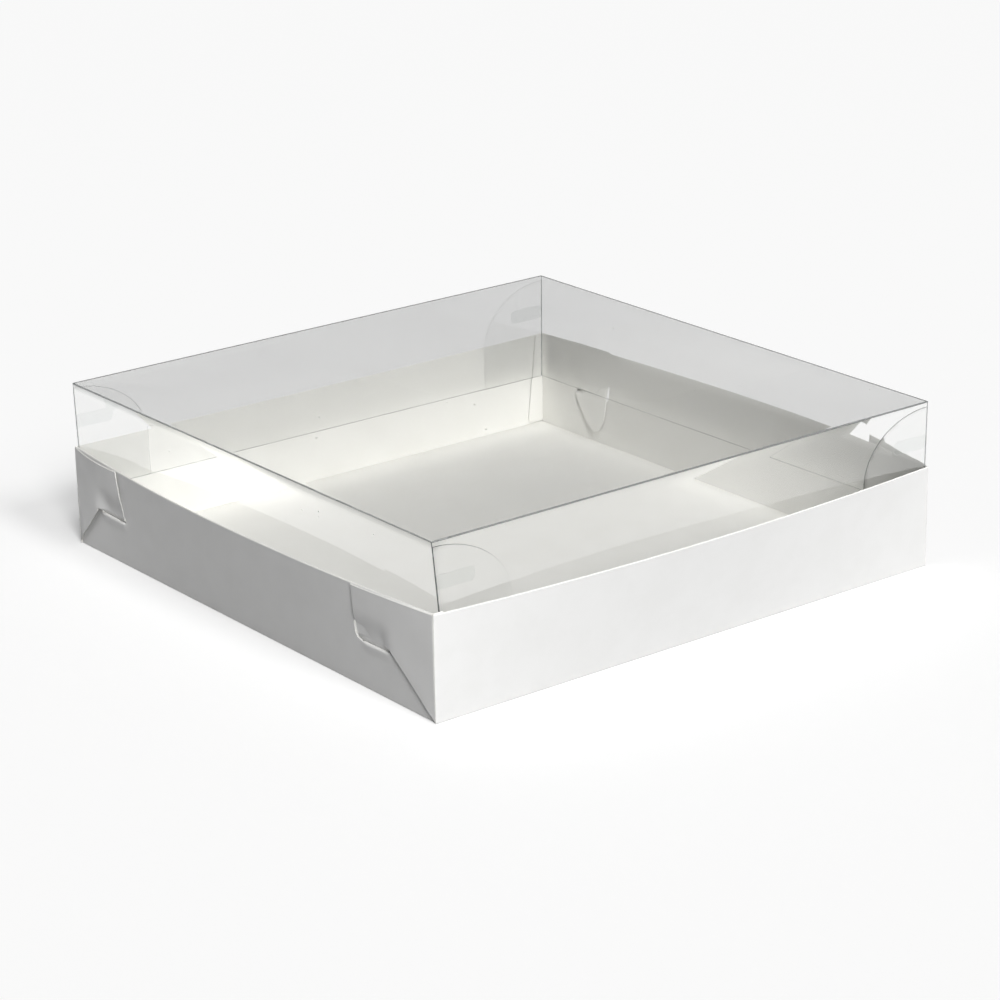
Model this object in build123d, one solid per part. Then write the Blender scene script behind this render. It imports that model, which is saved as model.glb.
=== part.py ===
from build123d import *
import os

# A shallow square cake box: a tray folded from white board, and a clear film lid pushed inside its rim.
# Millimetres. The origin is the middle of the underside, +X right, +Y back, +Z up.

# Tray
side = 350.0             # between opposite bottom creases
tray_height = 60.0
board = 0.5
fold_gap = 0.4           # air between a corner flap and the slotted wall that it covers
root_gap = 0.1           # between a flap's root and the wall that it folds from
half = side / 2

# How far each rim bows outward at its middle, and how far the bow leans to its front or left end
front_bow = (9.4, 0.10)
back_bow = (-1.5, 0.0)
left_bow = (9.8, -0.12)
right_bow = (9.8, 0.45)
bow_points = 7           # points along a rim line, enough for a smooth curve

# Corner flaps: length at the rim, length at the lock, height where the root starts, and the inner end of the slot
long_flap = {"rim": 64.0, "lock": 65.5, "root": 0.8, "slot_start": 35.5}
short_flap = {"rim": 57.8, "lock": 55.5, "root": 3.5, "slot_start": 28.5}
short_flap_long_rim = short_flap | {"rim": 63.4}
slot_floor = 26.4        # height of the slot's lower edge
slot_height = 3.6
slot_spare = 1.2         # how much longer the slot is than the tongue, at each end
slot_upturn = 7.5        # the long slot's outer end turns up this far
lock_height = 30.5       # height where a flap becomes its tongue
tongue_tip = 7.2

# How far each flap's free end springs away from the wall, at the rim
spring_front_left = 1.7
spring_back_left = 2.6
spring_front_right = 8.2
spring_back_right = 2.0

# Narrow tabs on the slotted walls' ends, folded in behind the long flaps' corners
tab_width_top = 6.0
tab_width_bottom = 12.0
tab_low = 1.5

# Lid
box_height = 99.0
film = 0.3
glue = 0.1
lid_half_top = 174.2     # half of the lid's width at its top crease
lid_half_low = 170.6     # and at its lower edge, because the sides lean in
lid_low = 33.0           # height of the lid's lower edge, inside the tray
lid_flap_width = 46.0
lid_flap_crest = 95.7    # height where a glue flap's curved edge starts at the corner
lid_flap_straight = 57.0 # below this height its edge runs straight down
glue_length = 25.0
glue_low = 71.0
glue_high = 80.0

os.makedirs("parts", exist_ok=True)


def save(name, piece):
    piece.label = name
    export_step(piece, f"parts/{name}.step")


# The tray


def front(out, along, z):
    """A point near the front wall: out from its plane, along it from the left end, and up."""
    return Vector(along - half, -half - out, z)


def back(out, along, z):
    return Vector(along - half, half + out, z)


def left(out, along, z):
    """The same for a slotted wall, along it from its front end."""
    return Vector(-half - out, along - half, z)


def right(out, along, z):
    return Vector(half + out, along - half, z)


def bow_line(bow, reverse=False):
    """How far a rim stands out at a distance along it, from either end."""
    middle, lean = bow

    def out(along):
        t = along / side
        if reverse:
            t = 1 - t
        return middle * 4 * t * (1 - t) * (1 + lean * (1 - 2 * t))

    return out


def strip(at, outer, start, end, z, thickness=board):
    """A level cut through a sheet: its outer line, and the same line one thickness further in."""
    steps = [start + (end - start) * i / (bow_points - 1) for i in range(bow_points)]
    outside = [at(outer(s), s, z) for s in steps]
    inside = [at(outer(s) - thickness, s, z) for s in steps]
    ends = Line(outside[-1], inside[-1]) + Line(inside[0], outside[0])
    return make_face(Spline(*outside) + Spline(*inside) + ends)


def outline(at, corners, curve=()):
    """The space in front of and behind an outline on a wall's plane, from points (along, height)."""
    depth = 30.0
    edge = Polyline(*[at(-depth, along, z) for along, z in corners], close=not curve)
    if curve:
        edge += Spline(*[at(-depth, along, z) for along, z in curve])
    outward = at(1, 0, 0) - at(0, 0, 0)
    return extrude(make_face(edge), amount=2 * depth, dir=outward)


def wall(at, rim, start, end, behind=0.0):
    """A wall straight at its bottom crease and bowed at its rim, set behind the outer plane."""
    low = strip(at, lambda s: rim(s) * board / tray_height - behind, start, end, board)
    high = strip(at, lambda s: rim(s) - behind, start, end, tray_height)
    return loft([low, high], ruled=True)


def flap(at, rim, size, spring):
    """A corner flap: straight rim, slanted free end, and a diagonal lower edge from the corner to the lock."""

    def bent(s):
        return rim(s) + spring * s / size["rim"]

    root = board + root_gap
    reach = max(size["rim"], size["lock"])
    low = strip(at, lambda s: 0.0, root, reach, 0)
    high = strip(at, bent, root, reach, tray_height)
    corners = [
        (root, size["root"]),
        (size["slot_start"], slot_floor),
        (size["slot_start"], lock_height),
        (size["lock"], lock_height),
        (size["rim"], tray_height),
        (root, tray_height),
    ]
    return loft([low, high], ruled=True) & outline(at, corners)


def tongue(at, rim, size, spring):
    """The flap's tongue: through the slot, then down the wall's inner face to a rounded tip."""
    start, end = size["slot_start"], size["lock"]
    width = end - start

    def on_flap(s):
        return (rim(s) + spring * s / size["rim"]) * lock_height / tray_height

    def inside(z):
        return lambda s: rim(s) * z / tray_height - 2 * (board + fold_gap) - board

    levels = [
        strip(at, on_flap, start, end, lock_height),
        strip(at, inside(slot_floor), start, end, slot_floor),
        strip(at, inside(tongue_tip), start, end, tongue_tip - 1),
    ]
    nose = [
        (end, lock_height),
        (start + width * 0.97, 17.0),
        (start + width * 0.88, 10.2),
        (start + width * 0.69, tongue_tip),
        (start + width * 0.48, 9.3),
        (start + width * 0.30, 15.5),
        (start + width * 0.07, 23.8),
    ]
    shoulder = [nose[-1], (start, slot_floor), (start, lock_height), nose[0]]
    return loft(levels, ruled=True) & outline(at, shoulder, nose)


def slot(at, size, upturn):
    """The cut that a tongue goes through. The long one turns up at its outer end."""
    start, end = size["slot_start"] - slot_spare, size["lock"] + slot_spare
    top = slot_floor + slot_height
    corners = [(start, slot_floor), (end, slot_floor)]
    if upturn:
        crest = slot_floor + upturn
        corners += [(end, crest), (end - slot_height / 2, crest)]
        corners += [(end - slot_height, top), (start, top)]
    else:
        corners += [(end, top), (start, top)]
    return outline(at, corners)


def end_tab(at, end_face):
    """A narrow tapered tab on a slotted wall's end, folded in along the next wall."""
    root = -2 * board - fold_gap
    corners = [(0, tab_low), (-tab_width_bottom, tab_low), (-tab_width_top, tray_height), (0, tray_height)]
    face = make_face(Polyline(*[at(root + out, end_face, z) for out, z in corners], close=True))
    along = at(0, 1, 0) - at(0, 0, 0)
    return extrude(face, amount=board, dir=along if end_face < half else -along)


wall_plane = board + fold_gap
floor_width = 2 * (half - wall_plane)
save("tray_floor", Pos(0, 0, board / 2) * Box(floor_width, side, board))

front_rim, back_rim = bow_line(front_bow), bow_line(back_bow)
left_rim, right_rim = bow_line(left_bow), bow_line(right_bow)
save("tray_front_wall", wall(front, front_rim, 0, side))
save("tray_back_wall", wall(back, back_rim, 0, side))


def from_back(at):
    """The same wall, measured along it from its back end."""
    return lambda out, along, z: at(out, side - along, z)


corners = {
    "front_left": (left, left_rim, long_flap, spring_front_left),
    "back_left": (from_back(left), bow_line(left_bow, reverse=True), short_flap, spring_back_left),
    "front_right": (right, right_rim, short_flap_long_rim, spring_front_right),
    "back_right": (from_back(right), bow_line(right_bow, reverse=True), long_flap, spring_back_right),
}
slots = {}
for name, (at, rim, size, spring) in corners.items():
    save(f"{name}_flap", flap(at, rim, size, spring))
    save(f"{name}_tongue", tongue(at, rim, size, spring))
    slots[name] = slot(at, size, slot_upturn if size is long_flap else 0)

ends = wall_plane, side - wall_plane
left_wall = wall(left, left_rim, *ends, behind=wall_plane)
right_wall = wall(right, right_rim, *ends, behind=wall_plane)
save("tray_left_wall", left_wall - slots["front_left"] - slots["back_left"])
save("tray_right_wall", right_wall - slots["front_right"] - slots["back_right"])
save("left_wall_tab", end_tab(left, ends[0]))
save("right_wall_tab", end_tab(right, ends[1]))


# The lid


def lid_half(z):
    """Half the lid's width at a height, outside its film."""
    top = box_height - film
    return lid_half_low + (lid_half_top - lid_half_low) * (z - lid_low) / (top - lid_low)


def lid_sheet(turn, inset, thickness, end_inset):
    """A leaning rectangle of film on the lid's front side, turned to another side."""
    levels = []
    for z in (lid_low, box_height - film):
        outer = lid_half(z) - inset
        reach = lid_half(z) - end_inset
        levels.append(Pos(0, -outer + thickness / 2, z) * Rectangle(2 * reach, thickness))
    return Rot(0, 0, turn) * loft(levels, ruled=True)


save("lid_top", Pos(0, 0, box_height - film / 2) * Box(2 * lid_half_top, 2 * lid_half_top, film))
save("lid_front_side", lid_sheet(0, 0, film, 0))
save("lid_back_side", lid_sheet(180, 0, film, 0))
save("lid_right_side", lid_sheet(90, 0, film, film))
save("lid_left_side", lid_sheet(-90, 0, film, film))


def glue_flap_outline():
    """A glue flap's outline at the lid's front left corner: a quarter ellipse, then straight down."""
    corner = -lid_half_top
    edge = -lid_half_low + lid_flap_width
    shape = Polyline(
        (corner, lid_flap_crest),
        (corner, lid_low),
        (edge, lid_low),
        (edge, lid_flap_straight),
    )
    curve = EllipticalCenterArc(
        (corner, lid_flap_straight),
        edge - corner,
        lid_flap_crest - lid_flap_straight,
        start_angle=0,
        arc_size=90,
    )
    return extrude(Plane.XZ * make_face(shape + curve), amount=half)


glue_patch = Pos(-lid_half_top + glue_length / 2, -half / 2, (glue_low + glue_high) / 2) * Box(
    glue_length, half, glue_high - glue_low
)
for side_name, turn in (("front", 0), ("back", 180)):
    for end_name, mirrored in (("left", side_name == "back"), ("right", side_name == "front")):
        flap_part = lid_sheet(0, film + glue, film, film) & glue_flap_outline()
        glue_part = lid_sheet(0, film, glue, film) & glue_patch
        if mirrored:
            flap_part = mirror(flap_part, Plane.YZ)
            glue_part = mirror(glue_part, Plane.YZ)
        save(f"lid_{side_name}_{end_name}_glue_flap", Rot(0, 0, turn) * flap_part)
        save(f"lid_{side_name}_{end_name}_glue", Rot(0, 0, turn) * glue_part)
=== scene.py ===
import math

import bmesh
import bpy
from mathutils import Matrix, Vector, noise


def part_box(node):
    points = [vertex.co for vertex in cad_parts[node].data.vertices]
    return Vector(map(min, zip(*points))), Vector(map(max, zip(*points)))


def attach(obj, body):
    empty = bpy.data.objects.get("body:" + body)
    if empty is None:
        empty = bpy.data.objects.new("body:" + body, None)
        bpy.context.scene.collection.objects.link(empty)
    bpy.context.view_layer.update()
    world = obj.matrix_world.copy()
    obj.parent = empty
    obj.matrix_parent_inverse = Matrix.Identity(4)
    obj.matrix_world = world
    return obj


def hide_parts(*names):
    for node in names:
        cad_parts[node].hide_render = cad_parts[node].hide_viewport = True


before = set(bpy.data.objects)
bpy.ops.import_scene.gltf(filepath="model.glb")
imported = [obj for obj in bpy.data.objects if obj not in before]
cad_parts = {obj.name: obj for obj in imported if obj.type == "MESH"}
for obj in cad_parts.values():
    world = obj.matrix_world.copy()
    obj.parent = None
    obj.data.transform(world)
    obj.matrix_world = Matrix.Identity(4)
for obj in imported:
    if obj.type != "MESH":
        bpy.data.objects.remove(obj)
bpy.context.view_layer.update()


# The tray's floor panel
# The middle of the die-cut blank, in 0.5 mm white board: clay coated outside, bare pulp inside.
# It lies flat, and the four walls fold up from its edges.

floor_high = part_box("tray_floor")[1]
front_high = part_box("tray_front_wall")[1]
board = floor_high.z
half = front_high.x
side = 2 * half
rim_height = front_high.z
cut_round = 0.0001       # how far a die-cut edge is crushed round
rim_round = 0.0005       # and a rim, which is handled most
bend_reach = 0.0006      # how far the floor panel stops short of its creases, where the walls bend up
floor_step = 0.008       # between the lines that let the floor panel bend
floor_wave = 0.00012     # how proud the panel stands in places
floor_wave_reach = 0.03  # within this distance of a crease it settles back
crease_wear_reach = 0.0012      # how far a crease's rubbed line spreads
sharp_angle = 35         # in degrees: an edge that turns more than this stays sharp

outside_white = (0.85, 0.85, 0.845, 1)
outside_shade = (0.81, 0.81, 0.80, 1)
inside_white = (0.885, 0.88, 0.85, 1)
inside_shade = (0.84, 0.835, 0.80, 1)
# Cut edges and rubbed creases show this lighter pulp white: partly the pulp's own colour, partly a painted
# highlight on edges that catch the light.
pulp_white_with_painted_highlight = (0.93, 0.925, 0.90, 1)
cut_shade = (0.84, 0.83, 0.79, 1)


def divide(start, end, step):
    """Even places from start to end, about one step apart."""
    count = max(1, round((end - start) / step))
    return [start + (end - start) * i / count for i in range(count + 1)]


def lay_out(outlines, across, up):
    """The flat outlines, given as (along, up), cut along a grid of lines so that they can bend."""
    flat = bmesh.new()
    for outline in outlines:
        flat.faces.new([flat.verts.new((a, u, 0)) for a, u in outline])
    for axis, places in ((0, across), (1, up)):
        for place in places:
            point, normal = Vector(), Vector()
            point[axis] = place
            normal[axis] = 1
            everything = flat.verts[:] + flat.edges[:] + flat.faces[:]
            bmesh.ops.bisect_plane(flat, geom=everything, dist=2e-6, plane_co=point, plane_no=normal)
    bmesh.ops.remove_doubles(flat, verts=flat.verts, dist=4e-6)
    return flat


def edge_directions(flat):
    """For each vertex on a cut edge, the direction out of the sheet, in the flat."""
    out = {}
    for edge in flat.edges:
        if len(edge.link_faces) != 1:
            continue
        face = edge.link_faces[0]
        a, b = edge.verts
        along = (b.co - a.co).normalized()
        sideways = Vector((along.y, -along.x, 0))
        middle = (a.co + b.co) / 2
        if sideways.dot(face.calc_center_median() - middle) > 0:
            sideways = -sideways
        for v in (a, b):
            out[v] = out.get(v, Vector()) + sideways
    return {v: d.normalized() for v, d in out.items()}


def near_segment(point, start, end):
    """How far a point of the flat is from a straight line between two others."""
    line = end - start
    share = max(0.0, min(1.0, (point - start).dot(line) / line.length_squared))
    return (point - start - line * share).length


def cut_sheet(name, flat, place, thickness, finishes, crush=None, folded=None, creases=()):
    """A closed piece of sheet. place(along, up, depth) puts a point of the flat where it belongs.

    finishes are the materials of its outer face, inner face and cut edge, and then of its folded strips,
    where folded(along, up) is true. crush gives how far the outer face is rounded off at a cut edge."""
    edge_out = edge_directions(flat)
    solid = bmesh.new()
    worn = solid.verts.layers.float.new("worn")
    lines = [(Vector((*a, 0)), Vector((*b, 0))) for a, b in creases]

    def add(v, depth, inset):
        p = v.co - edge_out.get(v, Vector()) * inset
        new = solid.verts.new(place(p.x, p.y, depth))
        if lines:
            near = min(near_segment(v.co, a, b) for a, b in lines)
            new[worn] = math.exp(-near / crease_wear_reach)
        return new

    def crushed(v):
        return crush(v.co.x, v.co.y) if crush else cut_round

    outer = {v: add(v, 0, crushed(v)) for v in flat.verts}
    inner = {v: add(v, thickness, cut_round) for v in flat.verts}
    rim = {v: add(v, thickness * 0.85, 0) for v in edge_out}

    def face(corners, index):
        new = solid.faces.new(corners)
        new.material_index = index
        new.smooth = True

    for f in flat.faces:
        centre = f.calc_center_median()
        fold = folded is not None and folded(centre.x, centre.y)
        face([outer[v] for v in f.verts], 3 if fold else 0)
        face([inner[v] for v in reversed(f.verts)], 3 if fold else 1)
    for e in flat.edges:
        if len(e.link_faces) == 1:
            a, b = e.verts
            face([outer[a], outer[b], rim[b], rim[a]], 2)
            face([rim[a], rim[b], inner[b], inner[a]], 2)
    bmesh.ops.recalc_face_normals(solid, faces=solid.faces)
    mesh = bpy.data.meshes.new(name)
    solid.to_mesh(mesh)
    solid.free()
    flat.free()
    mesh.set_sharp_from_angle(angle=math.radians(sharp_angle))
    for finish in finishes:
        mesh.materials.append(finish)
    piece = bpy.data.objects.new(name, mesh)
    bpy.context.scene.collection.objects.link(piece)
    return piece


def new_group(name, inputs, outputs):
    """An empty shader node group with these sockets, and its two end nodes."""
    group = bpy.data.node_groups.new(name, "ShaderNodeTree")
    for label, kind, value in inputs:
        socket = group.interface.new_socket(label, in_out="INPUT", socket_type="NodeSocket" + kind)
        socket.default_value = value
    for label, kind in outputs:
        group.interface.new_socket(label, in_out="OUTPUT", socket_type="NodeSocket" + kind)
    start = group.nodes.new("NodeGroupInput")
    end = group.nodes.new("NodeGroupOutput")
    return group, start.outputs, end.inputs


def fill(tree, socket, value):
    """Links a socket to value, or sets it if value is plain."""
    if isinstance(value, bpy.types.NodeSocket):
        tree.links.new(value, socket)
    elif value is not None:
        socket.default_value = value


def math_node(tree, operation, a, b=None, clamp=False):
    """The result of one sum on values or sockets."""
    node = tree.nodes.new("ShaderNodeMath")
    node.operation = operation
    node.use_clamp = clamp
    fill(tree, node.inputs[0], a)
    fill(tree, node.inputs[1], b)
    return node.outputs[0]


def remap(tree, value, low, high, to_low=0.0, to_high=1.0):
    """value from low to high, as to_low to to_high, with smooth ends."""
    node = tree.nodes.new("ShaderNodeMapRange")
    node.interpolation_type = "SMOOTHSTEP"
    for socket, v in zip(node.inputs, (value, low, high, to_low, to_high)):
        fill(tree, socket, v)
    return node.outputs[0]


def mix_colours(tree, share, a, b):
    """a where share is 0, b where it is 1."""
    node = tree.nodes.new("ShaderNodeMix")
    node.data_type = "RGBA"
    fill(tree, node.inputs["Factor"], share)
    fill(tree, node.inputs[6], a)
    fill(tree, node.inputs[7], b)
    return node.outputs[2]


def noise_node(tree, scale, detail=2.0, stretch=(1, 1, 1), rough=0.5):
    """Noise in the piece's own space, with lumps about 1 / scale metres wide, drawn out by stretch."""
    place = tree.nodes.new("ShaderNodeTexCoord")
    turn = tree.nodes.new("ShaderNodeMapping")
    turn.inputs["Scale"].default_value = stretch
    tree.links.new(place.outputs["Object"], turn.inputs["Vector"])
    node = tree.nodes.new("ShaderNodeTexNoise")
    tree.links.new(turn.outputs[0], node.inputs["Vector"])
    fill(tree, node.inputs["Scale"], scale)
    node.inputs["Detail"].default_value = detail
    node.inputs["Roughness"].default_value = rough
    return node.outputs["Fac"]


def make_board_face_group():
    """Pulp under a coating: cloudy formation, short fibres, and creases where the coating is rubbed."""
    group, given, result = new_group(
        "board_face",
        [
            ("Clean", "Color", outside_white),
            ("Shaded", "Color", outside_shade),
            ("Rubbed", "Color", pulp_white_with_painted_highlight),
            ("Clouding", "Float", 0.5),
            ("Fibre", "Float", 0.5),
            ("Rubbing", "Float", 0.5),
        ],
        [("Color", "Color"), ("Height", "Float"), ("Rub", "Float")],
    )
    cloud = remap(group, noise_node(group, 45, 4, rough=0.6), 0.35, 0.7)
    speckle = remap(group, noise_node(group, 650, 3), 0.35, 0.75)
    fibre = remap(group, noise_node(group, 900, 2, stretch=(1, 1, 0.12)), 0.45, 0.8)
    shading = math_node(group, "MULTIPLY", cloud, given["Clouding"])
    fibres = math_node(group, "MULTIPLY", math_node(group, "MULTIPLY", fibre, speckle), given["Fibre"])
    shading = math_node(group, "ADD", shading, fibres, clamp=True)
    worn = group.nodes.new("ShaderNodeAttribute")
    worn.attribute_name = "worn"
    broken = remap(group, noise_node(group, 260, 3), 0.3, 0.62)
    rub = math_node(group, "MULTIPLY", worn.outputs["Fac"], broken)
    rub = math_node(group, "MULTIPLY", rub, given["Rubbing"])
    colour = mix_colours(group, shading, given["Clean"], given["Shaded"])
    # Rubbed creases turn to the lighter pulp white, which is partly a painted highlight
    colour = mix_colours(group, rub, colour, given["Rubbed"])
    height = math_node(group, "ADD", math_node(group, "MULTIPLY", speckle, 0.5), fibres)
    height = math_node(group, "SUBTRACT", height, math_node(group, "MULTIPLY", rub, 1.4))
    fill(group, result["Color"], colour)
    fill(group, result["Height"], height)
    fill(group, result["Rub"], rub)
    return group


board_face = make_board_face_group()


def new_material(name):
    """A material with an empty tree, its Principled shader linked to the output."""
    material = bpy.data.materials.new(name)
    material.use_nodes = True
    tree = material.node_tree
    tree.nodes.clear()
    out = tree.nodes.new("ShaderNodeOutputMaterial")
    shader = tree.nodes.new("ShaderNodeBsdfPrincipled")
    tree.links.new(shader.outputs[0], out.inputs["Surface"])
    return material, tree, shader


def bump(tree, shader, height, strength, distance):
    node = tree.nodes.new("ShaderNodeBump")
    node.inputs["Strength"].default_value = strength
    node.inputs["Distance"].default_value = distance
    tree.links.new(height, node.inputs["Height"])
    tree.links.new(node.outputs[0], shader.inputs["Normal"])


def make_board(name, clean, shaded, clouding, fibre, rubbing, smooth, rough, relief):
    """One face of the board. smooth and rough are the roughness of its shiniest and its dullest places."""
    material, tree, shader = new_material(name)
    face = tree.nodes.new("ShaderNodeGroup")
    face.node_tree = board_face
    for label, value in (
        ("Clean", clean),
        ("Shaded", shaded),
        ("Rubbed", pulp_white_with_painted_highlight),
        ("Clouding", clouding),
        ("Fibre", fibre),
        ("Rubbing", rubbing),
    ):
        face.inputs[label].default_value = value
    tree.links.new(face.outputs["Color"], shader.inputs["Base Color"])
    sheen = remap(tree, noise_node(tree, 120, 3), 0.3, 0.7, smooth, rough)
    dulled = math_node(tree, "MULTIPLY", face.outputs["Rub"], 0.2)
    fill(tree, shader.inputs["Roughness"], math_node(tree, "ADD", sheen, dulled))
    shader.inputs["IOR"].default_value = 1.48
    bump(tree, shader, face.outputs["Height"], 0.35, relief)
    return material


board_outside = make_board(
    "board_outside", outside_white, outside_shade,
    clouding=0.45, fibre=0.25, rubbing=0.6, smooth=0.36, rough=0.48, relief=0.00002,
)
board_inside = make_board(
    "board_inside", inside_white, inside_shade,
    clouding=0.5, fibre=0.55, rubbing=0.4, smooth=0.62, rough=0.78, relief=0.00004,
)
# The cut edges, lighter than the coated face: bare pulp, and partly a painted highlight
board_cut = make_board(
    "board_cut_edge", pulp_white_with_painted_highlight, cut_shade,
    clouding=0.6, fibre=0.8, rubbing=0.0, smooth=0.8, rough=0.92, relief=0.00006,
)
board_finishes = (board_outside, board_inside, board_cut)


def finish_board(piece, body, node):
    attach(piece, body)
    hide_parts(node)


def rectangle(a0, a1, u0, u1):
    return [(a0, u0), (a1, u0), (a1, u1), (a0, u1)]


def on_floor(along, up, depth):
    """The floor panel, its coated face down, a little proud in places because board never lies quite flat."""
    lift = floor_wave * max(0.0, noise.noise(Vector((along * 9, up * 9, 3.1))) + 0.6)
    edge = min(floor_high.x - abs(along), half - abs(up))
    return Vector((along, -up, depth + lift * max(0.0, min(1.0, edge / floor_wave_reach))))


floor_reach = floor_high.x - bend_reach
floor_depth = half - bend_reach
floor_flat = lay_out(
    [rectangle(-floor_reach, floor_reach, -floor_depth, floor_depth)],
    divide(-floor_reach, floor_reach, floor_step)[1:-1],
    divide(-floor_depth, floor_depth, floor_step)[1:-1],
)
floor_thickness = board * 0.9   # so that its waves end near the panel's true top
tray_floor = cut_sheet("tray_floor_board", floor_flat, on_floor, floor_thickness, board_finishes)
finish_board(tray_floor, "tray", "tray_floor")


# The front and back walls
# Plain panels of the same board, folded up along one crease and held by the flaps at their ends.
# Nothing stiffens their rims, so the front one bows out and the back one a little in.

# How far each rim bows out at its middle, and how far the bow leans to its front or left end
front_bow = (0.0094, 0.10)
back_bow = (-0.0015, 0.0)
left_bow = (0.0098, -0.12)
right_bow = (0.0098, 0.45)

crease_round = 0.0004
wall_foot = 0.00003      # a wall's lower edge is this far above the table
board_step = 0.0045      # between the lines that let a wall bend
crease_lines = [0.0002, 0.0005, 0.001]
end_lines = [0.00015, 0.0004, 0.001, 0.002]
ripple_height = 0.00022
ripple_foot = 0.03       # the board ripples less below this height
ripple_corner = 0.04     # and nearer than this to a corner


def bow_line(bow, reverse=False):
    """How far a rim stands out at a distance along it, from either end."""
    middle, lean = bow

    def out(along):
        t = along / side
        if reverse:
            t = 1 - t
        return middle * 4 * t * (1 - t) * (1 + lean * (1 - 2 * t))

    return out


def front(out, along, up):
    """A point near the front wall: out from its plane, along it from the left end, and up."""
    return Vector((along - half, -half - out, up))


def back(out, along, up):
    return Vector((along - half, half + out, up))


def left(out, along, up):
    """The same for a slotted wall, along it from its front end."""
    return Vector((-half - out, along - half, up))


def right(out, along, up):
    return Vector((half + out, along - half, up))


def from_back(at):
    """The same wall, measured along it from its back end."""
    return lambda out, along, up: at(out, side - along, up)


def ripple(point):
    """How far the board there stands proud of a smooth curve."""
    corner_away = half - min(abs(point.x), abs(point.y))
    free = min(1.0, point.z / ripple_foot) * max(0.0, min(1.0, corner_away / ripple_corner))
    return ripple_height * free * noise.noise(Vector((point.x * 14, point.y * 14, point.z * 22)))


def rolled(distance, radius):
    """How far a face falls back where it turns round a crease of this radius."""
    if distance >= radius:
        return 0.0
    return radius - math.sqrt(max(0.0, radius**2 - (radius - distance) ** 2))


def rim_crush(along, up):
    return rim_round if up > rim_height - 1e-5 else cut_round


def smooth_wall(name, at, bow, body, node):
    rim = bow_line(bow)

    def place(along, up, depth):
        out = rim(along) * up / rim_height + ripple(at(0, along, up))
        turned = rolled(min(along, side - along), crease_round) + rolled(up, crease_round)
        return at(out - depth - turned * (1 - depth / board), along, up)

    across = end_lines + divide(0.0, side, board_step)[1:-1] + [side - e for e in end_lines]
    up = crease_lines + divide(0.0, rim_height, board_step)[1:-1]
    flat = lay_out([rectangle(0, side, wall_foot, rim_height)], across, up)
    creases = [((0, 0), (side, 0)), ((0, 0), (0, rim_height)), ((side, 0), (side, rim_height))]
    piece = cut_sheet(name, flat, place, board, board_finishes, crush=rim_crush, creases=creases)
    finish_board(piece, body, node)


smooth_wall("front_wall_board", front, front_bow, "front_wall", "tray_front_wall")
smooth_wall("back_wall_board", back, back_bow, "back_wall", "tray_back_wall")


# The slotted walls and their end tabs
# These two stand just inside the corner flaps, and each is cut with a short slot and a long, hooked one.
# A tongue in a slot presses the lip below it out and over, and pulls in the board above it.

fold_gap = 0.0004        # air between a corner flap and the wall that it covers
wall_plane = board + fold_gap
slot_floor = 0.0274
slot_height = 0.0036
slot_spare = 0.0012
hook_crest = 0.0390      # top of the long slot's turned-up end
hook_width = 0.0022
hook_corner = 0.0055     # how far its lower corner is cut off
lock_height = 0.0305
long_flap = {"rim": 0.0634, "lock": 0.0652, "root": 0.0006, "slot_start": 0.0355, "corner": 0.0298}
short_flap = {"rim": 0.0545, "lock": 0.0555, "root": 0.0015, "slot_start": 0.0285, "corner": 0.0284}
short_flap_long_rim = short_flap | {"rim": 0.0634}
lip_flare = 0.0006       # how far the lip below a slot is pressed out
lip_reach = 0.007
lip_roll = 0.0012        # how far its top edge is rolled in
pull = 0.0010            # how far the board above a slot is pulled in
pull_reach = 0.018


def slot_shape(size, hooked):
    """A slot: where it starts and ends, where its lower edge ends, and its edge above that."""
    start, end = size["slot_start"], size["lock"] + slot_spare
    top = slot_floor + slot_height
    turn = 0.0008
    points = [(start, top - turn), (start + turn * 0.3, top - turn * 0.3), (start + turn, top)]
    if not hooked:
        points += [(end - turn, top), (end - turn * 0.3, top - turn * 0.3), (end, top - turn)]
        return {"start": start, "end": end, "lip": (start, end), "points": points}
    hook = end - hook_width
    points += [(hook - 0.0006, top), (hook + 0.0002, top + 0.0016), (end - 0.0014, hook_crest - 0.001)]
    points += [(end - 0.0010, hook_crest), (end - 0.0005, hook_crest - 0.0006), (end, hook_crest - 0.002)]
    points += [(end, slot_floor + 0.0045), (end - 0.0012, slot_floor + 0.0014)]
    return {"start": start, "end": end, "lip": (start, end - hook_corner), "points": points}


def mirrored(slot):
    """The same slot measured from the wall's other end."""
    low, high = slot["lip"]
    return {
        "start": side - slot["end"],
        "end": side - slot["start"],
        "lip": (side - high, side - low),
        "points": [(side - a, u) for a, u in reversed(slot["points"])],
    }


def wall_outlines(start, end, slots):
    """A wall's flat outline in two parts, below and above the line of its slots."""
    line = slot_floor
    above = [(start, line)]
    below = [(start, wall_foot), (end, wall_foot), (end, line)]
    for slot in slots:
        s0, s1 = slot["lip"]
        above += [(s0, line)] + slot["points"] + [(s1, line)]
    for slot in reversed(slots):
        s0, s1 = slot["lip"]
        below += [(s1, line), (s0, line)]
    above += [(end, line), (end, rim_height), (start, rim_height)]
    return [below + [(start, line)], above]


def ease(value, low, high):
    """0 at low, 1 at high, smooth between."""
    t = max(0.0, min(1.0, (value - low) / (high - low)))
    return t * t * (3 - 2 * t)


def pulled_in(along, up, start, end):
    """How far the board above a slot from start to end is pulled in by the tongue."""
    if up < slot_floor + 1e-5:
        return 0.0
    across = ease(along, start, start + 0.010) * (1 - ease(along, end - 0.010, end))
    return pull * across * (1 - ease(up, slot_floor, slot_floor + pull_reach))


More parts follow.
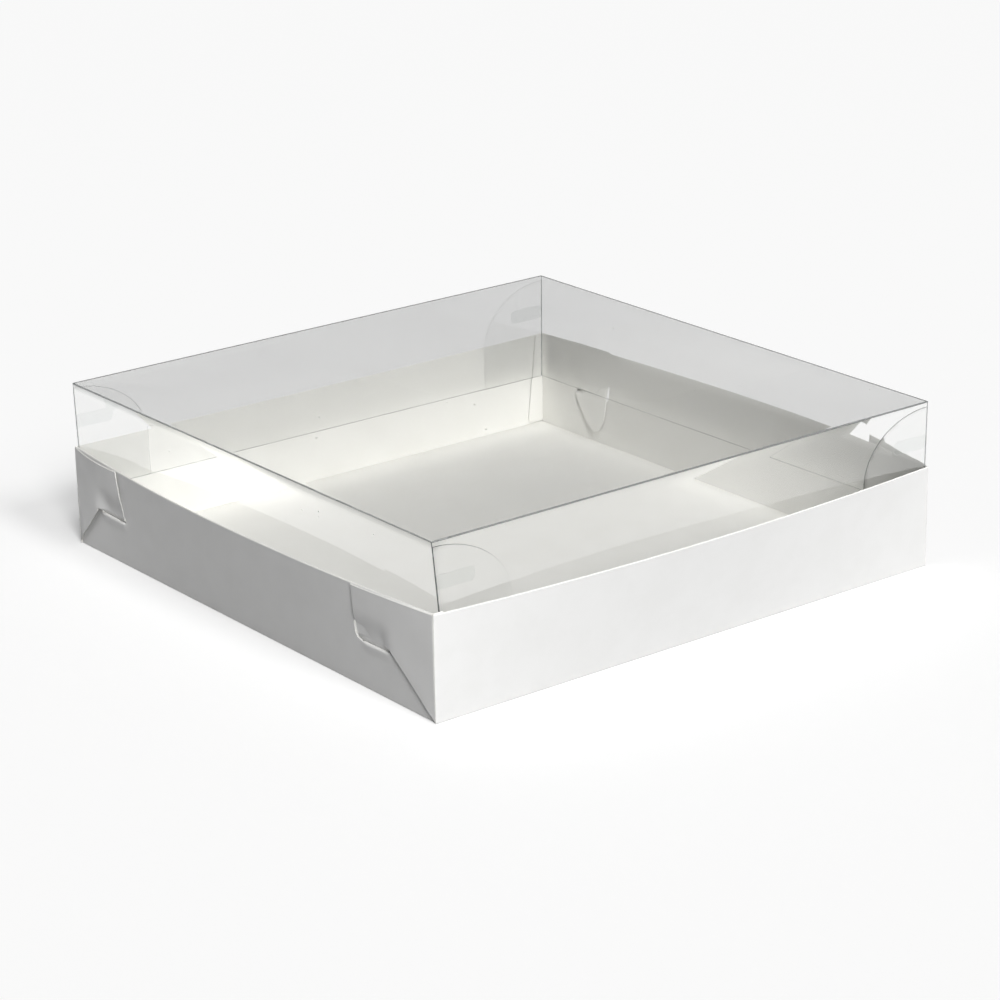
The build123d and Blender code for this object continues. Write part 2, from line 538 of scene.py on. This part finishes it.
def slotted_wall(name, at, bow, first, last, node):
    rim = bow_line(bow)
    slots = [first, mirrored(last)]
    start, end = wall_plane, side - wall_plane

    def worked(along, up):
        """How far the tongues push the wall out."""
        total = 0.0
        for slot in slots:
            s0, s1 = slot["lip"]
            total -= pulled_in(along, up, slot["start"], slot["end"])
            if up < slot_floor + 1e-5:
                share = ease(along, s0 - 0.002, s0 + 0.004) * (1 - ease(along, s1 - 0.004, s1 + 0.002))
                total += lip_flare * share * ease(up, slot_floor - lip_reach, slot_floor)
                over = max(0.0, (up - slot_floor) / lip_roll + 1)
                share = ease(along, s0, s0 + 0.002) * (1 - ease(along, s1 - 0.002, s1))
                total -= lip_roll * share * (1 - math.sqrt(max(0.0, 1 - over * over)))
        return total

    def place(along, up, depth):
        out = rim(along) * up / rim_height - wall_plane + ripple(at(0, along, up)) + worked(along, up)
        return at(out - depth - rolled(up, crease_round) * (1 - depth / board), along, up)

    across = divide(start, end, board_step)[1:-1]
    creases = [((start, 0), (end, 0))]
    for slot in slots:
        s0, s1 = slot["lip"]
        across += divide(s0 - 0.002, s0 + 0.004, 0.001) + divide(s1 - 0.004, s1 + 0.002, 0.001)
        creases.append(((s0, slot_floor), (s1, slot_floor)))
    up = crease_lines + divide(0.0, slot_floor - lip_reach, board_step)[1:]
    up += divide(slot_floor - lip_reach, slot_floor - lip_roll, 0.00125)[1:]
    up += [slot_floor - lip_roll * share for share in (0.75, 0.5, 0.3, 0.15, 0.05)]
    up += divide(slot_floor, slot_floor + pull_reach, 0.0025)[:-1]
    up += divide(slot_floor + pull_reach, rim_height, board_step)[:-1]
    flat = lay_out(wall_outlines(start, end, slots), across, up)
    piece = cut_sheet(name, flat, place, board, board_finishes, crush=rim_crush, creases=creases)
    finish_board(piece, "tray", node)


long_slot = slot_shape(long_flap, True)
short_slot = slot_shape(short_flap, False)
slotted_wall("left_wall_board", left, left_bow, long_slot, short_slot, "tray_left_wall")
slotted_wall("right_wall_board", right, right_bow, short_slot, long_slot, "tray_right_wall")

tab_width_top = 0.006
tab_width_bottom = 0.012
tab_low = 0.0015
tab_corner = 0.003
tab_spring = 0.0012      # how far its free edge stands off the next wall


def end_tab(name, at, node):
    """A narrow tapered tab, folded in from the wall's end and lying against the next wall."""
    root = 2 * board + fold_gap

    def place(along, up, depth):
        spring = tab_spring * ease(along, 0.002, tab_width_bottom) * ease(up, 0.0, rim_height)
        return at(-root - along, wall_plane + depth + spring, up)

    slant = (tab_width_bottom - tab_width_top) / (rim_height - tab_low)
    outline = [(0, tab_low), (tab_width_bottom - tab_corner, tab_low)]
    outline += [(tab_width_bottom - tab_corner * 0.3, tab_low + tab_corner * 0.3)]
    outline += [(tab_width_bottom - tab_corner * slant, tab_low + tab_corner)]
    outline += [(tab_width_top, rim_height), (0, rim_height)]
    across = [0.0006, 0.002, 0.004, 0.006, 0.008, 0.010]
    flat = lay_out([outline], across, divide(0.0, rim_height, board_step)[1:-1])
    creases = [((0, tab_low), (0, rim_height))]
    piece = cut_sheet(name, flat, place, board, board_finishes, crush=rim_crush, creases=creases)
    finish_board(piece, "tray", node)


end_tab("left_wall_tab_board", left, "left_wall_tab")
end_tab("right_wall_tab_board", from_back(right), "right_wall_tab")


# The corner flaps and their tongues
# The ends of the front and back walls fold round the corners and lie outside the slotted walls.
# Each flap's free end dips to its slot, and its tongue goes through and down the wall's inner face.

flap_root = 0.0006
dip_height = 0.016       # how far above the lock a flap starts to dip
dip_clear = 0.0008       # how far behind the outer plane it ends
tuck_reach = 0.012       # how much of a hooked flap's end is tucked into the slot's turned-up end
tuck_depth = 0.0010
flap_step = 0.003        # between the lines that let a flap or tongue bend
gape_reach = 0.010       # how far up from its lower edge a flap gapes
free_edge_round = 0.0004
tongue_tip = 0.0072
inner_plane = 2 * wall_plane + board

corners = {
    "front_left": {
        "at": left, "rim": bow_line(left_bow), "size": long_flap,
        "spring": 0.0009, "bulge": 0.0003, "gape": 0.0005,
    },
    "back_left": {
        "at": from_back(left), "rim": bow_line(left_bow, reverse=True), "size": short_flap,
        "spring": 0.0004, "bulge": 0.0019, "gape": 0.0018,
    },
    "front_right": {
        "at": right, "rim": bow_line(right_bow), "size": short_flap_long_rim,
        "spring": 0.0082, "bulge": 0.0, "gape": 0.0010,
    },
    "back_right": {
        "at": from_back(right), "rim": bow_line(right_bow, reverse=True), "size": long_flap,
        "spring": 0.0010, "bulge": 0.0008, "gape": 0.0012,
    },
}

# The tongue's rounded end: share of its width from the slot's inner end, and height
nose = [
    (0.99, 0.0255), (0.985, 0.0215), (0.97, 0.0170), (0.935, 0.0132), (0.88, 0.0102),
    (0.80, 0.0080), (0.69, tongue_tip), (0.58, 0.0078), (0.48, 0.0097), (0.39, 0.0124),
    (0.30, 0.0158), (0.19, 0.0198), (0.07, 0.0240),
]


def make_flap(corner, at, rim, size, spring, bulge, gape):
    start, lock = size["slot_start"], size["lock"]
    low_corner = Vector((flap_root, size["root"], 0))
    high_corner = Vector((start, size["corner"], 0))
    hooked = size is long_flap

    def surface(along, up):
        """How far out the flap's outer face is."""
        sprung = spring * along / size["rim"] * up / rim_height
        sprung += bulge * math.sin(math.pi * min(1.0, along / size["rim"])) * (up / rim_height) ** 2
        near = near_segment(Vector((along, up, 0)), low_corner, high_corner)
        sprung += gape * math.exp(-((near / gape_reach) ** 2)) * ease(along, 0.0008, 0.007)
        dip = ease(along, start - 0.002, start + 0.009)
        dip *= 1 - ease(up, lock_height, lock_height + dip_height)
        out = rim(along) * up / rim_height + sprung * (1 - dip) - dip_clear * dip + ripple(at(0, along, up))
        if hooked:
            tuck = ease(along, lock - tuck_reach, lock - 0.002)
            tuck *= 1 - ease(up, hook_crest - 0.005, hook_crest + 0.002)
            out -= tuck_depth * tuck
        return out - pulled_in(along, up, start, lock + slot_spare)

    def place(along, up, depth):
        turned = rolled(along - flap_root, crease_round) * (1 - depth / board)
        return at(surface(along, up) - depth - turned, along, up)

    def crush(along, up):
        if start - 0.0002 < along and up < lock_height + 1e-5:
            return 0.0
        free_end = along > min(lock, size["rim"]) - 0.003 and up > lock_height + 0.0005
        return free_edge_round if free_end else rim_crush(along, up)

    outline = [
        (flap_root, size["root"]),
        (start - 0.0008, size["corner"] - 0.0006),
        (start - 0.0001, size["corner"] + 0.0002),
        (start, lock_height),
        (lock, lock_height),
        (size["rim"], rim_height),
        (flap_root, rim_height),
    ]
    across = [flap_root + d for d in (0.0002, 0.0004, 0.001, 0.002)]
    across += divide(0.0045, max(lock, size["rim"]), flap_step)
    up = divide(0.0, lock_height, flap_step)[1:] + divide(lock_height, rim_height, 0.0025)[1:-1]
    flat = lay_out([outline], across, up)
    creases = [((flap_root, 0), (flap_root, rim_height))]
    name = f"{corner}_flap"
    piece = cut_sheet(name + "_board", flat, place, board, board_finishes, crush=crush, creases=creases)
    finish_board(piece, name, name)

    def tongue_surface(along, up):
        """Out of the slot, then behind the wall, a little further in towards the tip."""
        inside = rim(along) * up / rim_height - inner_plane
        curl = 0.0006 * ease(slot_floor - up, 0.0, slot_floor - tongue_tip)
        share = ease(up, slot_floor - 0.0004, lock_height)
        return (inside - curl) * (1 - share) + surface(along, lock_height) * share

    def place_tongue(along, up, depth):
        return at(tongue_surface(along, up) - depth, along, up)

    outline = [(lock, lock_height)] + [(start + (lock - start) * share, height) for share, height in nose]
    outline += [(start, slot_floor + 0.0003), (start, lock_height)]
    across = divide(start, lock, flap_step)[1:-1]
    up = divide(tongue_tip, slot_floor, flap_step)[1:] + divide(slot_floor, lock_height, 0.0006)[1:-1]
    flat = lay_out([outline[::-1]], across, up)
    name = f"{corner}_tongue"
    piece = cut_sheet(
        name + "_board", flat, place_tongue, board, board_finishes,
        crush=lambda along, up: 0.0 if up > lock_height - 1e-5 else cut_round,
    )
    finish_board(piece, f"{corner}_flap", name)


for corner, facts in corners.items():
    make_flap(corner, **facts)


# The lid
# One clear film blank, folded down at four sides. Its fold lines are pressed in and carry a grey strip: a
# little real haze, and mostly painted shade for the dark line that a fold's bend of light shows.
# It stands inside the tray, with its lower edge well below the rim.

lid_low_corner, lid_high_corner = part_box("lid_top")
side_low, side_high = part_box("lid_front_side")
film = lid_high_corner.z - lid_low_corner.z
lid_top_height = lid_high_corner.z
lid_half_top = lid_high_corner.x
lid_low = side_low.z
lid_half_low = lid_half_top - (side_high.y - side_low.y - film)
fold_round = 0.0006
fold_shade_strip = 0.0005      # how wide the grey strip is at a corner's fold: a little crease haze, mostly painted shade
film_crush = 0.0002      # how far the film's cut edges are rounded
film_step = 0.008        # between the lines that let the film hang
film_slack = 0.0005      # about how far the film hangs back from a true plane
slack_reach = 0.03       # and nearer than this to a corner it hangs back less
top_sag_share = 1.6      # how much more the top sags than a side hangs back
top_sag_reach = 0.04

film_tint = (0.990, 0.991, 0.989, 1)
# The folds' grey: partly the pressed crease's haze, mostly painted shade for the dark line that a fold's bend
# of light shows
fold_painted_shade_grey = (0.42, 0.44, 0.44, 1)
cut_grey = (0.85, 0.86, 0.86, 1)


def lid_half(up):
    """Half the lid's width at a height, outside its film."""
    return lid_half_low + (lid_half_top - lid_half_low) * (up - lid_low) / (lid_top_height - film - lid_low)


def make_film_face_group():
    """Drawn film: faint lines along the draw, cloudy gloss, and a few dust grains."""
    group, given, result = new_group(
        "film_face",
        [("Smooth", "Float", 0.01), ("Cloudy", "Float", 0.06), ("Dust", "Float", 1.0)],
        [("Roughness", "Float"), ("Height", "Float")],
    )
    cloud = remap(group, noise_node(group, 25, 4, rough=0.6), 0.45, 0.8)
    place = group.nodes.new("ShaderNodeTexCoord")
    grains = group.nodes.new("ShaderNodeTexVoronoi")
    grains.inputs["Scale"].default_value = 95
    group.links.new(place.outputs["Object"], grains.inputs["Vector"])
    spot = remap(group, grains.outputs["Distance"], 0.03, 0.09, 1.0, 0.0)
    chosen = remap(group, noise_node(group, 60, 2), 0.56, 0.62)
    dust = math_node(group, "MULTIPLY", math_node(group, "MULTIPLY", spot, chosen), given["Dust"])
    lines = noise_node(group, 60, 2, stretch=(0.15, 4, 1))
    rough = math_node(group, "ADD", given["Smooth"], math_node(group, "MULTIPLY", cloud, given["Cloudy"]))
    rough = math_node(group, "ADD", rough, math_node(group, "MULTIPLY", dust, 0.5), clamp=True)
    fill(group, result["Roughness"], rough)
    fill(group, result["Height"], math_node(group, "ADD", math_node(group, "MULTIPLY", lines, 0.25), dust))
    return group


film_face = make_film_face_group()
lamp_loss = 0.99         # share of a lamp's light that gets through each face of the film


def make_film(name, colour, through, smooth, cloudy, dust, relief, ior=1.4):
    """Clear plastic that lets the lamps through. through is how much of it is clear."""
    material, tree, shader = new_material(name)
    face = tree.nodes.new("ShaderNodeGroup")
    face.node_tree = film_face
    face.inputs["Smooth"].default_value = smooth
    face.inputs["Cloudy"].default_value = cloudy
    face.inputs["Dust"].default_value = dust
    shader.inputs["Base Color"].default_value = colour
    shader.inputs["Transmission Weight"].default_value = through
    shader.inputs["IOR"].default_value = ior
    tree.links.new(face.outputs["Roughness"], shader.inputs["Roughness"])
    bump(tree, shader, face.outputs["Height"], 0.2, relief)
    path = tree.nodes.new("ShaderNodeLightPath")
    clear = tree.nodes.new("ShaderNodeBsdfTransparent")
    clear.inputs["Color"].default_value = [c * lamp_loss for c in colour[:3]] + [1]
    mix = tree.nodes.new("ShaderNodeMixShader")
    tree.links.new(path.outputs["Is Shadow Ray"], mix.inputs[0])
    tree.links.new(shader.outputs[0], mix.inputs[1])
    tree.links.new(clear.outputs[0], mix.inputs[2])
    out = next(n for n in tree.nodes if n.type == "OUTPUT_MATERIAL")
    tree.links.new(mix.outputs[0], out.inputs["Surface"])
    return material


film_clear = make_film(
    "film_clear", film_tint, through=1.0, smooth=0.0, cloudy=0.03, dust=1.0, relief=0.00001,
)
# The fold strips: partly clear, partly a grey that is painted shade, with a little real haze
film_fold_painted_shade = make_film(
    "film_fold_painted_shade", fold_painted_shade_grey, through=0.6, smooth=0.15, cloudy=0.2, dust=0.0, relief=0.00003,
)
film_cut = make_film(
    "film_cut_edge", cut_grey, through=0.9, smooth=0.15, cloudy=0.1, dust=0.0, relief=0.00003,
)
film_finishes = (film_clear, film_clear, film_cut, film_fold_painted_shade)


def finish_film(piece, node):
    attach(piece, "lid")
    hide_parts(node)


def slack(a, b, seed):
    """How far the film hangs back from a true plane."""
    return film_slack * max(0.0, 0.55 + 0.8 * noise.noise(Vector((a * 8, b * 8, seed))))


def on_top(along, up, depth):
    """The top sheet, with its edges rolled down into the four folds."""
    flat_half = lid_half_top - fold_round
    point, drop = [], 0.0
    for value in (along, up):
        beyond = abs(value) - flat_half
        if beyond > 0:
            angle = beyond / fold_round
            value = math.copysign(flat_half + (fold_round - depth) * math.sin(angle), value)
            drop = max(drop, (fold_round - depth) * (1 - math.cos(angle)))
        point.append(value)
    inland = min(1.0, max(0.0, flat_half - max(abs(along), abs(up))) / top_sag_reach)
    sag = slack(along, up, 7.7) * top_sag_share * inland
    return Vector((point[0], point[1], lid_top_height - depth - drop - sag))


roll = fold_round * math.pi / 2
sheet_reach = lid_half_top - fold_round + roll * 0.97
roll_lines = [lid_half_top - fold_round + roll * i / 5 for i in range(5)]
top_lines = divide(-lid_half_top + 0.006, lid_half_top - 0.006, film_step)
top_lines += roll_lines + [-r for r in roll_lines] + [lid_half_top - 0.002, 0.002 - lid_half_top]
top_outline = rectangle(-sheet_reach, sheet_reach, -sheet_reach, sheet_reach)
top_flat = lay_out([top_outline], top_lines, top_lines)
lid_top_piece = cut_sheet(
    "lid_top_film", top_flat, on_top, film, film_finishes,
    folded=lambda a, u: max(abs(a), abs(u)) > lid_half_top - fold_round + roll * 0.45,
)
finish_film(lid_top_piece, "lid_top")


def turned(point, quarter):
    """A point turned about the middle by quarter turns."""
    x, y, z = point
    for _ in range(quarter % 4):
        x, y = -y, x
    return Vector((x, y, z))


# The lid was glued a little out of square. This is how far each corner stands off true at the tray's rim,
# as (x, y), for the front left and right corners and then the back left and right ones.
leans = (((0.0030, 0.0), (0.0018, -0.0018)), ((-0.0016, 0.0012), (0.0, 0.0)))
lean_most = 1.25         # the share of these that the lid's lower edge leans


def leaned(point):
    """A point of the lid's side, moved as the corners near it are."""
    drop = (lid_top_height - point.z) / (lid_top_height - rim_height)
    drop = min(lean_most, max(0.0, drop))
    u, v = point.x / side + 0.5, point.y / side + 0.5
    for axis in (0, 1):
        low = leans[0][0][axis] * (1 - u) + leans[0][1][axis] * u
        high = leans[1][0][axis] * (1 - u) + leans[1][1][axis] * u
        point[axis] += (low * (1 - v) + high * v) * drop
    return point


def lid_wall(quarter, inset, seed):
    """Puts a flat point on the lid's side: along it, up, and depth behind its outer face."""

    def place(along, up, depth):
        share = max(0.0, min(1.0, (lid_top_height - up) / (lid_top_height - lid_low)))
        free = math.sin(math.pi * share) + 0.25
        ends = max(0.0, min(1.0, (lid_half(up) - abs(along)) / slack_reach))
        back_off = slack(along, up, seed) * free * ends
        return leaned(turned((along, -(lid_half(up) - inset - depth - back_off), up), quarter))

    return place


def lid_side(name, quarter, end_inset, node):
    crest = lid_top_height - fold_round
    wide, narrow = lid_half(crest) - end_inset, lid_half(lid_low) - end_inset
    strip = fold_shade_strip if quarter % 2 else 0.0
    right_end = [(narrow - strip, lid_low), (narrow, lid_low), (wide, crest), (wide - strip, crest)]
    outlines = [[(strip - narrow, lid_low), right_end[0], right_end[3], (strip - wide, crest)]]
    if strip:
        outlines += [right_end, [(-a, u) for a, u in reversed(right_end)]]
    flat = lay_out(outlines, divide(-narrow, narrow, film_step)[1:-1], divide(lid_low, crest, 0.006)[1:-1])
    piece = cut_sheet(
        name, flat, lid_wall(quarter, 0.0, 2.0 + quarter), film, film_finishes,
        crush=lambda a, u: film_crush, folded=lambda a, u: abs(a) > lid_half(u) - end_inset - strip,
    )
    finish_film(piece, node)


lid_side("lid_front_film", 0, 0.0, "lid_front_side")
lid_side("lid_right_film", 1, film, "lid_right_side")
lid_side("lid_back_film", 2, 0.0, "lid_back_side")
lid_side("lid_left_film", 3, film, "lid_left_side")


# The lid's glue flaps
# Rounded ends of the left and right sides, folded behind the front and back sides at the four corners,
# and held there by one short line of clear glue each.

glue = 0.0001
glue_clear = 0.000005    # the line's faces stop this far short of the two films'
flap_width = 0.046
flap_edge = lid_half_low - flap_width
flap_crest = 0.0957
flap_straight = 0.057
glue_length = 0.025
glue_low = 0.071
glue_high = 0.080
glue_tint = (0.95, 0.96, 0.955, 1)
glue_film = make_film(
    "glue_clear", glue_tint, through=1.0, smooth=0.08, cloudy=0.2, dust=0.0, relief=0.00003, ior=1.12,
)
curve_steps = 16
line_steps = 25


def glue_flap(name, quarter, end, node):
    """end is -1 at the side's left end, seen from outside, and 1 at its right."""
    root = lid_half_top - film
    width, drop = root - flap_edge, flap_crest - flap_straight
    curve = []
    for i in range(1, curve_steps + 1):
        angle = math.pi / 2 * i / curve_steps
        curve.append((root - width * math.sin(angle), flap_straight + drop * math.cos(angle)))
    low_root = lid_half(lid_low) - film
    strip = [(low_root, lid_low), (root, flap_crest)]
    strip += [(root - fold_shade_strip, flap_crest), (low_root - fold_shade_strip, lid_low)]
    rest = [strip[3], strip[2]] + curve + [(flap_edge, lid_low)]
    across = [end * a for a in divide(flap_edge, root, 0.005)[1:-1]]
    up = divide(lid_low, flap_crest, 0.005)[1:-1]
    flat = lay_out([[(end * a, u) for a, u in outline] for outline in (rest, strip)], across, up)
    piece = cut_sheet(
        name, flat, lid_wall(quarter, film + glue, 2.0 + quarter), film, film_finishes,
        crush=lambda a, u: film_crush, folded=lambda a, u: abs(a) > lid_half(u) - film - fold_shade_strip,
    )
    finish_film(piece, node)


def glue_line(name, quarter, end, node):
    """A pressed line of glue, a little wider in places, as it was rolled on."""
    root = lid_half_top - film - 0.001
    low_edge, high_edge = [], []
    for i in range(line_steps + 1):
        a = root - glue_length * i / line_steps
        swell = 0.0006 * noise.noise(Vector((a * 160, quarter * 3.0, end * 5.0)))
        pinch = 0.0012 * (1 - ease(i, 0, 2)) + 0.0016 * ease(i, line_steps - 2, line_steps)
        low_edge.append((end * a, glue_low + 0.0004 + swell + pinch))
        high_edge.append((end * a, glue_high - 0.0004 + swell * 0.6 - pinch))
    flat = lay_out([low_edge + high_edge[::-1]], [], divide(glue_low, glue_high, 0.003)[1:-1])
    place = lid_wall(quarter, film + glue_clear, 2.0 + quarter)
    piece = cut_sheet(name, flat, place, glue - 2 * glue_clear, (glue_film,) * 3)
    finish_film(piece, node)


for side_name, quarter in (("front", 0), ("back", 2)):
    for end_name in ("left", "right"):
        end = -1 if (end_name == "left") == (side_name == "front") else 1
        stem = f"lid_{side_name}_{end_name}_glue"
        glue_flap(stem + "_flap_film", quarter, end, stem + "_flap")
        glue_line(stem + "_line", quarter, end, stem)


# The studio
# A pale table top, a soft key light that grazes the left side, and two fills from the front.
# The surround is dim and even.

floor_span = 30.0
table_white = (0.90, 0.90, 0.90, 1)
table_bounce = (0.22, 0.22, 0.22, 1)
table_lift = 0.16        # what the table adds where it is seen, so that it comes out nearly white

table_mesh = bpy.data.meshes.new("table_top")
reach = floor_span / 2
table_corners = [(a, u, 0) for a, u in rectangle(-reach, reach, -reach, reach)]
table_mesh.from_pydata(table_corners, [], [(0, 1, 2, 3)])
table = bpy.data.objects.new("table_top", table_mesh)
bpy.context.scene.collection.objects.link(table)
table_material, tree, shader = new_material("table_pale")
path = tree.nodes.new("ShaderNodeLightPath")
seen = math_node(tree, "MAXIMUM", path.outputs["Is Camera Ray"], path.outputs["Is Glossy Ray"])
seen = math_node(tree, "MAXIMUM", seen, path.outputs["Is Transmission Ray"])
fill(tree, shader.inputs["Base Color"], mix_colours(tree, seen, table_bounce, table_white))
shader.inputs["Roughness"].default_value = 0.9
shader.inputs["Specular IOR Level"].default_value = 0.1
shader.inputs["Emission Color"].default_value = (1, 1, 1, 1)
fill(tree, shader.inputs["Emission Strength"], math_node(tree, "MULTIPLY", seen, table_lift))
table_mesh.materials.append(table_material)


def add_lamp(name, direction, level, spread, colour=(1, 1, 1)):
    """A far soft lamp. A level of 1 lights a white surface that faces it to white.

    Its light comes straight through the film, and would come in a second time by the film's gloss.
    So the gloss doesn't see it."""
    lamp = bpy.data.lights.new(name, "SUN")
    lamp.energy = level * math.pi
    lamp.angle = math.radians(spread)
    lamp.color = colour
    holder = bpy.data.objects.new(name, lamp)
    holder.rotation_euler = Vector(direction).to_track_quat("Z", "Y").to_euler()
    holder.visible_glossy = False
    holder.visible_transmission = False
    bpy.context.scene.collection.objects.link(holder)


add_lamp("key", (-0.35, -0.84, 0.45), 0.42, 14, (1.0, 0.995, 0.985))
add_lamp("front_fill", (0.05, -0.84, 0.52), 0.38, 14)
add_lamp("high_fill", (-0.26, -0.50, 0.81), 0.48, 25)

world = bpy.data.worlds.new("surround")
bpy.context.scene.world = world
world.use_nodes = True
tree = world.node_tree
tree.nodes.clear()
background = tree.nodes.new("ShaderNodeBackground")
background.inputs["Color"].default_value = (0.98, 0.99, 1.0, 1)
background.inputs["Strength"].default_value = 0.11
out = tree.nodes.new("ShaderNodeOutputWorld")
tree.links.new(background.outputs[0], out.inputs["Surface"])

camera = bpy.data.cameras.new("camera")
camera.sensor_width = 36
camera.lens = 115.58
camera.clip_end = 100
viewer = bpy.data.objects.new("camera", camera)
viewer.location = (-1.0636, -1.3866, 0.657)
viewer.rotation_euler = [math.radians(a) for a in (70.354, 0.988, -37.932)]
bpy.context.scene.collection.objects.link(viewer)
bpy.context.scene.camera = viewer
bpy.context.scene.view_settings.view_transform = "Standard"
